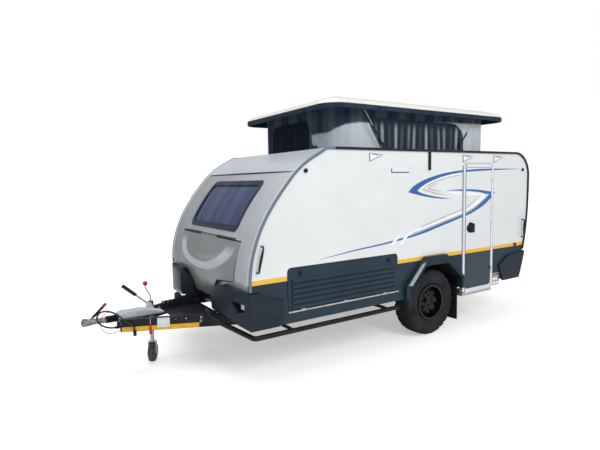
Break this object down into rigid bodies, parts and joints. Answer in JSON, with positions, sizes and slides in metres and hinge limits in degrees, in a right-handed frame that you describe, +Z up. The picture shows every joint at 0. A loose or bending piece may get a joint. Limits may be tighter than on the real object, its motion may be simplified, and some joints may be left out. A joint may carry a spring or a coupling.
{
  "type": "pop-top teardrop caravan trailer",
  "caption": "Single-axle off-road caravan with a teardrop nose, lifting canvas roof, louvred locker, side door and A-frame hitch.",
  "frame": {"origin": "on the ground under the middle of the vehicle's bounding box", "axes": "+X towards the rear, the hitch is at -X; +Z up; the entry door is on the -Y side"},
  "size_m": [5.454, 2.1406, 2.693],
  "materials": {
    "white_panel": "gloss",
    "slate_panel": "satin",
    "silver_panel": "gloss",
    "roof_white": "gloss",
    "black_trim": "matte",
    "canvas": "woven",
    "window_glass": "clear",
    "tyre_rubber": "matte",
    "wheel_black": "satin",
    "chassis_black": "satin",
    "zinc_steel": "galvanised",
    "bare_aluminium": "satin",
    "floor_board": "matte",
    "soft_rubber": "matte",
    "strut_steel": "polished",
    "blind_cloth": "pleated",
    "lamp_lens": "clear",
    "red_cable": "satin"
  },
  "bodies": {
    "trailer": {"arch_flares": "black_trim", "axle_beam": "chassis_black", "breakaway_cable": "red_cable", "canvas_walls": "canvas", "chassis": "chassis_black", "corner_lamps": "lamp_lens", "corner_mouldings_front": "slate_panel", "corner_mouldings_rear": "slate_panel", "coupling_bellows": "soft_rubber", "coupling_head": "zinc_steel", "door_frame": "black_trim", "drawbar": "chassis_black", "drawbar_tray": "chassis_black", "edge_trims": "black_trim", "electric_lead": "soft_rubber", "entry_step": "bare_aluminium", "fixed_roof": "roof_white", "floor": "floor_board", "front_window_frame": "black_trim", "front_window_glass": "window_glass", "hand_brake_lever": "chassis_black", "hatch_rail": "bare_aluminium", "jockey_crank": "zinc_steel", "jockey_tube": "zinc_steel", "lid_hinges": "bare_aluminium", "mudflaps": "soft_rubber", "nose_shell": "silver_panel", "overrun_housing": "zinc_steel", "rear_wall": "white_panel", "side_fittings": "black_trim", "side_guard": "chassis_black", "side_walls": "white_panel", "skirts": "slate_panel", "slider_bars": "chassis_black", "strut_feet": "chassis_black", "wheel_boxes": "black_trim", "window_blind": "blind_cloth"},
    "wheel_left": {"tyre_left": "tyre_rubber", "rim_left": "wheel_black"},
    "wheel_right": {"tyre_right": "tyre_rubber", "rim_right": "wheel_black"},
    "door": {"entry_door": "white_panel", "door_handle": "black_trim"},
    "hatch": {"locker_hatch": "slate_panel", "hatch_catches": "black_trim"},
    "lid": {"front_locker_lid": "silver_panel"},
    "roof": {"poptop_roof": "roof_white", "poptop_seal": "soft_rubber"},
    "jockey_shaft": {"jockey_leg": "zinc_steel"},
    "jockey_fork": {"jockey_castor": "zinc_steel"},
    "jockey_roller": {"jockey_wheel": "soft_rubber"},
    "barrel_front_left": {"strut_front_left": "chassis_black"},
    "rod_front_left": {"strut_rod_front_left": "strut_steel"},
    "barrel_front_right": {"strut_front_right": "chassis_black"},
    "rod_front_right": {"strut_rod_front_right": "strut_steel"},
    "barrel_rear_left": {"strut_rear_left": "chassis_black"},
    "rod_rear_left": {"strut_rod_rear_left": "strut_steel"},
    "barrel_rear_right": {"strut_rear_right": "chassis_black"},
    "rod_rear_right": {"strut_rod_rear_right": "strut_steel"}
  },
  "joints": [
    {"name": "wheel_left_spin", "type": "hinge", "parent": "trailer", "child": "wheel_left", "pos_m": [0.888, -0.853, 0.39], "axis": [0, 1, 0], "continuous": true},
    {"name": "wheel_right_spin", "type": "hinge", "parent": "trailer", "child": "wheel_right", "pos_m": [0.888, 0.853, 0.39], "axis": [0, 1, 0], "continuous": true},
    {"name": "door_hinge", "type": "hinge", "parent": "trailer", "child": "door", "pos_m": [1.9015, -1.039, 1.22], "axis": [0, 0, 1], "range_deg": [0, 150]},
    {"name": "hatch_hinge", "type": "hinge", "parent": "trailer", "child": "hatch", "pos_m": [-0.4145, -1.031, 0.6343], "axis": [1, 0, 0], "range_deg": [0, 88]},
    {"name": "lid_hinge", "type": "hinge", "parent": "trailer", "child": "lid", "pos_m": [-1.44746, 0, 1.28931], "axis": [0, 1, 0], "range_deg": [0, 85]},
    {"name": "roof_lift", "type": "slide", "parent": "trailer", "child": "roof", "axis": [0, 0, 1], "range_m": [-0.345, 0], "deforming": ["canvas_walls"]},
    {"name": "jockey_wind", "type": "slide", "parent": "trailer", "child": "jockey_shaft", "axis": [0, 0, 1], "range_m": [0, 0.1]},
    {"name": "jockey_swivel", "type": "hinge", "parent": "jockey_shaft", "child": "jockey_fork", "pos_m": [-2.04, 0.1732, 0.21], "axis": [0, 0, 1], "continuous": true},
    {"name": "jockey_roll", "type": "hinge", "parent": "jockey_fork", "child": "jockey_roller", "pos_m": [-2.04, 0.1732, 0.1], "axis": [-0.8387, 0.5446, 0], "continuous": true},
    {"name": "strut_front_left_swing", "type": "hinge", "parent": "trailer", "child": "barrel_front_left", "pos_m": [0.188, -0.892, 2.212], "axis": [0, 1, 0], "range_deg": [-50.93, 0]},
    {"name": "strut_front_left_rod", "type": "slide", "parent": "barrel_front_left", "child": "rod_front_left", "axis": [-0.5823, 0, 0.813], "range_m": [-0.1869, 0]},
    {"name": "strut_front_right_swing", "type": "hinge", "parent": "trailer", "child": "barrel_front_right", "pos_m": [0.188, 0.892, 2.212], "axis": [0, 1, 0], "range_deg": [-50.93, 0]},
    {"name": "strut_front_right_rod", "type": "slide", "parent": "barrel_front_right", "child": "rod_front_right", "axis": [-0.5823, 0, 0.813], "range_m": [-0.1869, 0]},
    {"name": "strut_rear_left_swing", "type": "hinge", "parent": "trailer", "child": "barrel_rear_left", "pos_m": [1.448, -0.892, 2.212], "axis": [0, 1, 0], "range_deg": [0, 46.52]},
    {"name": "strut_rear_left_rod", "type": "slide", "parent": "barrel_rear_left", "child": "rod_rear_left", "axis": [0.6518, 0, 0.7584], "range_m": [-0.1671, 0]},
    {"name": "strut_rear_right_swing", "type": "hinge", "parent": "trailer", "child": "barrel_rear_right", "pos_m": [1.448, 0.892, 2.212], "axis": [0, 1, 0], "range_deg": [0, 46.52]},
    {"name": "strut_rear_right_rod", "type": "slide", "parent": "barrel_rear_right", "child": "rod_rear_right", "axis": [0.6518, 0, 0.7584], "range_m": [-0.1671, 0]}
  ],
  "couplings": [
    {"joint": "strut_front_left_swing", "follows": "roof_lift", "rad_per_m": 2.5511},
    {"joint": "strut_front_left_rod", "follows": "roof_lift", "ratio": 0.5388},
    {"joint": "strut_front_right_swing", "follows": "roof_lift", "rad_per_m": 2.5511},
    {"joint": "strut_front_right_rod", "follows": "roof_lift", "ratio": 0.5388},
    {"joint": "strut_rear_left_swing", "follows": "roof_lift", "rad_per_m": -2.3281},
    {"joint": "strut_rear_left_rod", "follows": "roof_lift", "ratio": 0.48156},
    {"joint": "strut_rear_right_swing", "follows": "roof_lift", "rad_per_m": -2.3281},
    {"joint": "strut_rear_right_rod", "follows": "roof_lift", "ratio": 0.48156}
  ]
}
